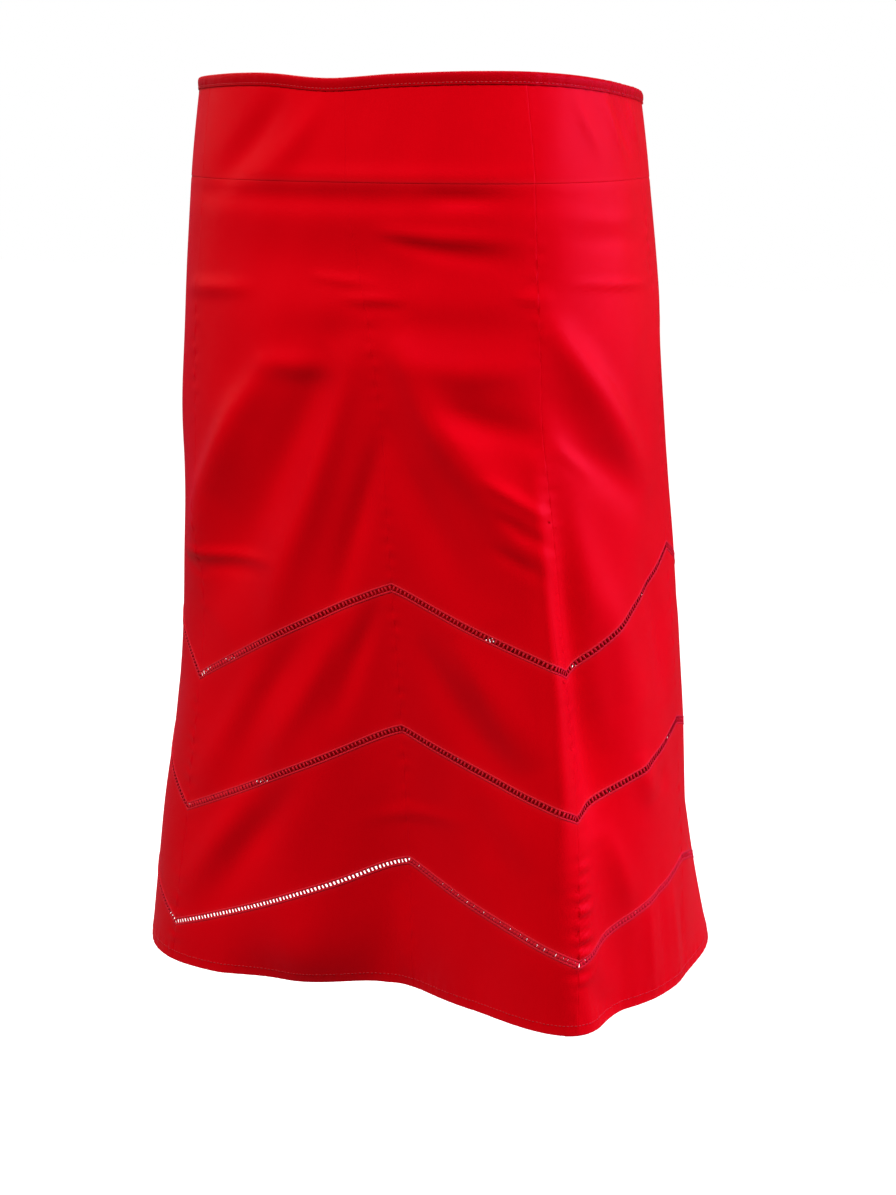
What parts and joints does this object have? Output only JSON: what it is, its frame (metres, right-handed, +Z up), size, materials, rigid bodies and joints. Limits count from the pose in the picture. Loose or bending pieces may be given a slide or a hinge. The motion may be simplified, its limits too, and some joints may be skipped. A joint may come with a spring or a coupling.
{
  "type": "a-line midi skirt",
  "caption": "Red A-line midi skirt in flared gores, with a hip yoke, a bound waist, zigzag openwork ladder bands and a concealed back zip, hung as it is worn.",
  "frame": {"origin": "centre of the waist opening, in the level plane of the waist's front edge", "axes": "+Z up, the front faces -Y, the wearer's left side is +X"},
  "size_m": [0.3831, 0.2815, 0.6001],
  "materials": {
    "red_cloth": "satin",
    "ladder_openwork": "satin",
    "zip_tape": "matte",
    "zip_coil": "satin",
    "zip_metal": "gloss"
  },
  "bodies": {
    "skirt": {"waist_binding": "red_cloth", "yoke_front_left": "red_cloth", "yoke_side_left_front": "red_cloth", "yoke_side_left_back": "red_cloth", "yoke_back_left": "red_cloth", "yoke_back_right": "red_cloth", "yoke_side_right_back": "red_cloth", "yoke_side_right_front": "red_cloth", "yoke_front_right": "red_cloth", "upper_front_left": "red_cloth", "upper_side_left_front": "red_cloth", "upper_side_left_back": "red_cloth", "upper_back_left": "red_cloth", "upper_back_right": "red_cloth", "upper_side_right_back": "red_cloth", "upper_side_right_front": "red_cloth", "upper_front_right": "red_cloth", "tier_1_front_left": "red_cloth", "tier_1_side_left_front": "red_cloth", "tier_1_side_left_back": "red_cloth", "tier_1_back_left": "red_cloth", "tier_1_back_right": "red_cloth", "tier_1_side_right_back": "red_cloth", "tier_1_side_right_front": "red_cloth", "tier_1_front_right": "red_cloth", "tier_2_front_left": "red_cloth", "tier_2_side_left_front": "red_cloth", "tier_2_side_left_back": "red_cloth", "tier_2_back_left": "red_cloth", "tier_2_back_right": "red_cloth", "tier_2_side_right_back": "red_cloth", "tier_2_side_right_front": "red_cloth", "tier_2_front_right": "red_cloth", "tier_3_front_left": "red_cloth", "tier_3_side_left_front": "red_cloth", "tier_3_side_left_back": "red_cloth", "tier_3_back_left": "red_cloth", "tier_3_back_right": "red_cloth", "tier_3_side_right_back": "red_cloth", "tier_3_side_right_front": "red_cloth", "tier_3_front_right": "red_cloth", "openwork_1": "ladder_openwork", "openwork_2": "ladder_openwork", "openwork_3": "ladder_openwork", "zip_tape_left": "zip_tape", "zip_tape_right": "zip_tape", "zip_coil": "zip_coil", "zip_slider": "zip_metal"},
    "pull_tab": {"zip_pull": "zip_metal"}
  },
  "joints": [
    {"name": "pull_tab_swing", "type": "hinge", "parent": "skirt", "child": "pull_tab", "pos_m": [0, 0.11772, -0.02914], "axis": [1, 0, 0], "range_deg": [0, 150]}
  ]
}
